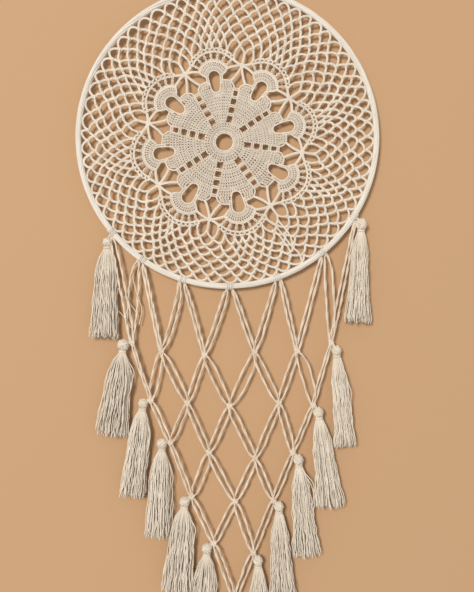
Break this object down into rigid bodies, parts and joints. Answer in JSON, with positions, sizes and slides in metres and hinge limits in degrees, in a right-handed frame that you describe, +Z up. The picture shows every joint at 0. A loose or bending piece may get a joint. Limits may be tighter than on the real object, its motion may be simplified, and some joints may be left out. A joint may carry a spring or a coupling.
{
  "type": "dream catcher",
  "caption": "Wall-hung dream catcher: a covered metal hoop holding a crocheted doily, with a pointed net of knotted cotton cords and hanging tassels below.",
  "frame": {"origin": "the inner edge of the hoop's top, where a nail or hook carries it", "axes": "+Z up along the object's length, the web in the XZ plane, the front facing -Y"},
  "size_m": [0.304, 0.032, 0.7128],
  "materials": {
    "steel_ring": "drawn steel wire",
    "cover_cotton": "crocheted cotton yarn",
    "doily_cotton": "crocheted cotton yarn",
    "net_cord": "plied cotton cord",
    "tassel_yarn": "cut cotton yarn",
    "tassel_tie": "wrapped cotton yarn"
  },
  "bodies": {
    "hoop": {"hoop_ring": "steel_ring", "hoop_cover": "cover_cotton", "hoop_hitches": "net_cord", "doily": "doily_cotton", "cords_row_1": "net_cord"},
    "fringe_upper": {"knots_row_1": "net_cord", "cords_row_2": "net_cord", "knots_row_2": "net_cord"},
    "fringe_middle": {"cords_row_3": "net_cord", "knots_row_3": "net_cord", "cords_row_4": "net_cord", "knots_row_4": "net_cord"},
    "fringe_lower": {"cords_row_5": "net_cord", "knots_row_5": "net_cord", "cords_row_6": "net_cord", "knots_row_6": "net_cord"},
    "tassel_left_1_body": {"tassel_left_1": "tassel_yarn", "tassel_left_1_tie": "tassel_tie"},
    "tassel_left_2_body": {"tassel_left_2": "tassel_yarn", "tassel_left_2_tie": "tassel_tie"},
    "tassel_left_3_body": {"tassel_left_3": "tassel_yarn", "tassel_left_3_tie": "tassel_tie"},
    "tassel_left_4_body": {"tassel_left_4": "tassel_yarn", "tassel_left_4_tie": "tassel_tie"},
    "tassel_left_5_body": {"tassel_left_5": "tassel_yarn", "tassel_left_5_tie": "tassel_tie"},
    "tassel_left_6_body": {"tassel_left_6": "tassel_yarn", "tassel_left_6_tie": "tassel_tie"},
    "tassel_right_1_body": {"tassel_right_1": "tassel_yarn", "tassel_right_1_tie": "tassel_tie"},
    "tassel_right_2_body": {"tassel_right_2": "tassel_yarn", "tassel_right_2_tie": "tassel_tie"},
    "tassel_right_3_body": {"tassel_right_3": "tassel_yarn", "tassel_right_3_tie": "tassel_tie"},
    "tassel_right_4_body": {"tassel_right_4": "tassel_yarn", "tassel_right_4_tie": "tassel_tie"},
    "tassel_right_5_body": {"tassel_right_5": "tassel_yarn", "tassel_right_5_tie": "tassel_tie"},
    "tassel_right_6_body": {"tassel_right_6": "tassel_yarn", "tassel_right_6_tie": "tassel_tie"},
    "tassel_tip_body": {"tassel_tip": "tassel_yarn", "tassel_tip_tie": "tassel_tie"}
  },
  "joints": [
    {"name": "fringe_upper_swing", "type": "hinge", "parent": "hoop", "child": "fringe_upper", "pos_m": [0, 0, -0.2982], "axis": [1, 0, 0], "range_deg": [-20, 20], "deforming": ["cords_row_1"]},
    {"name": "fringe_middle_swing", "type": "hinge", "parent": "fringe_upper", "child": "fringe_middle", "pos_m": [0, 0, -0.4127], "axis": [1, 0, 0], "range_deg": [-15, 15], "deforming": ["cords_row_3"]},
    {"name": "fringe_lower_swing", "type": "hinge", "parent": "fringe_middle", "child": "fringe_lower", "pos_m": [0, 0, -0.5087], "axis": [1, 0, 0], "range_deg": [-15, 15], "deforming": ["cords_row_5"]},
    {"name": "tassel_left_1_swing", "type": "hinge", "parent": "hoop", "child": "tassel_left_1_body", "pos_m": [-0.115, 0, -0.241], "axis": [1, 0, 0], "range_deg": [-45, 45]},
    {"name": "tassel_left_2_swing", "type": "hinge", "parent": "fringe_upper", "child": "tassel_left_2_body", "pos_m": [-0.0952, 0, -0.3526], "axis": [1, 0, 0], "range_deg": [-45, 45]},
    {"name": "tassel_left_3_swing", "type": "hinge", "parent": "fringe_upper", "child": "tassel_left_3_body", "pos_m": [-0.0765, 0, -0.4097], "axis": [1, 0, 0], "range_deg": [-45, 45]},
    {"name": "tassel_left_4_swing", "type": "hinge", "parent": "fringe_middle", "child": "tassel_left_4_body", "pos_m": [-0.0569, 0, -0.4522], "axis": [1, 0, 0], "range_deg": [-45, 45]},
    {"name": "tassel_left_5_swing", "type": "hinge", "parent": "fringe_middle", "child": "tassel_left_5_body", "pos_m": [-0.0354, 0, -0.5062], "axis": [1, 0, 0], "range_deg": [-45, 45]},
    {"name": "tassel_left_6_swing", "type": "hinge", "parent": "fringe_lower", "child": "tassel_left_6_body", "pos_m": [-0.0134, 0, -0.5526], "axis": [1, 0, 0], "range_deg": [-45, 45]},
    {"name": "tassel_right_1_swing", "type": "hinge", "parent": "hoop", "child": "tassel_right_1_body", "pos_m": [0.1262, 0, -0.2257], "axis": [1, 0, 0], "range_deg": [-45, 45]},
    {"name": "tassel_right_2_swing", "type": "hinge", "parent": "fringe_upper", "child": "tassel_right_2_body", "pos_m": [0.1035, 0, -0.3521], "axis": [1, 0, 0], "range_deg": [-45, 45]},
    {"name": "tassel_right_3_swing", "type": "hinge", "parent": "fringe_upper", "child": "tassel_right_3_body", "pos_m": [0.0856, 0, -0.4143], "axis": [1, 0, 0], "range_deg": [-45, 45]},
    {"name": "tassel_right_4_swing", "type": "hinge", "parent": "fringe_middle", "child": "tassel_right_4_body", "pos_m": [0.0653, 0, -0.4619], "axis": [1, 0, 0], "range_deg": [-45, 45]},
    {"name": "tassel_right_5_swing", "type": "hinge", "parent": "fringe_middle", "child": "tassel_right_5_body", "pos_m": [0.0456, 0, -0.5095], "axis": [1, 0, 0], "range_deg": [-45, 45]},
    {"name": "tassel_right_6_swing", "type": "hinge", "parent": "fringe_lower", "child": "tassel_right_6_body", "pos_m": [0.0256, 0, -0.5617], "axis": [1, 0, 0], "range_deg": [-45, 45]},
    {"name": "tassel_tip_swing", "type": "hinge", "parent": "fringe_lower", "child": "tassel_tip_body", "pos_m": [0.0076, 0, -0.6092], "axis": [1, 0, 0], "range_deg": [-45, 45]}
  ]
}
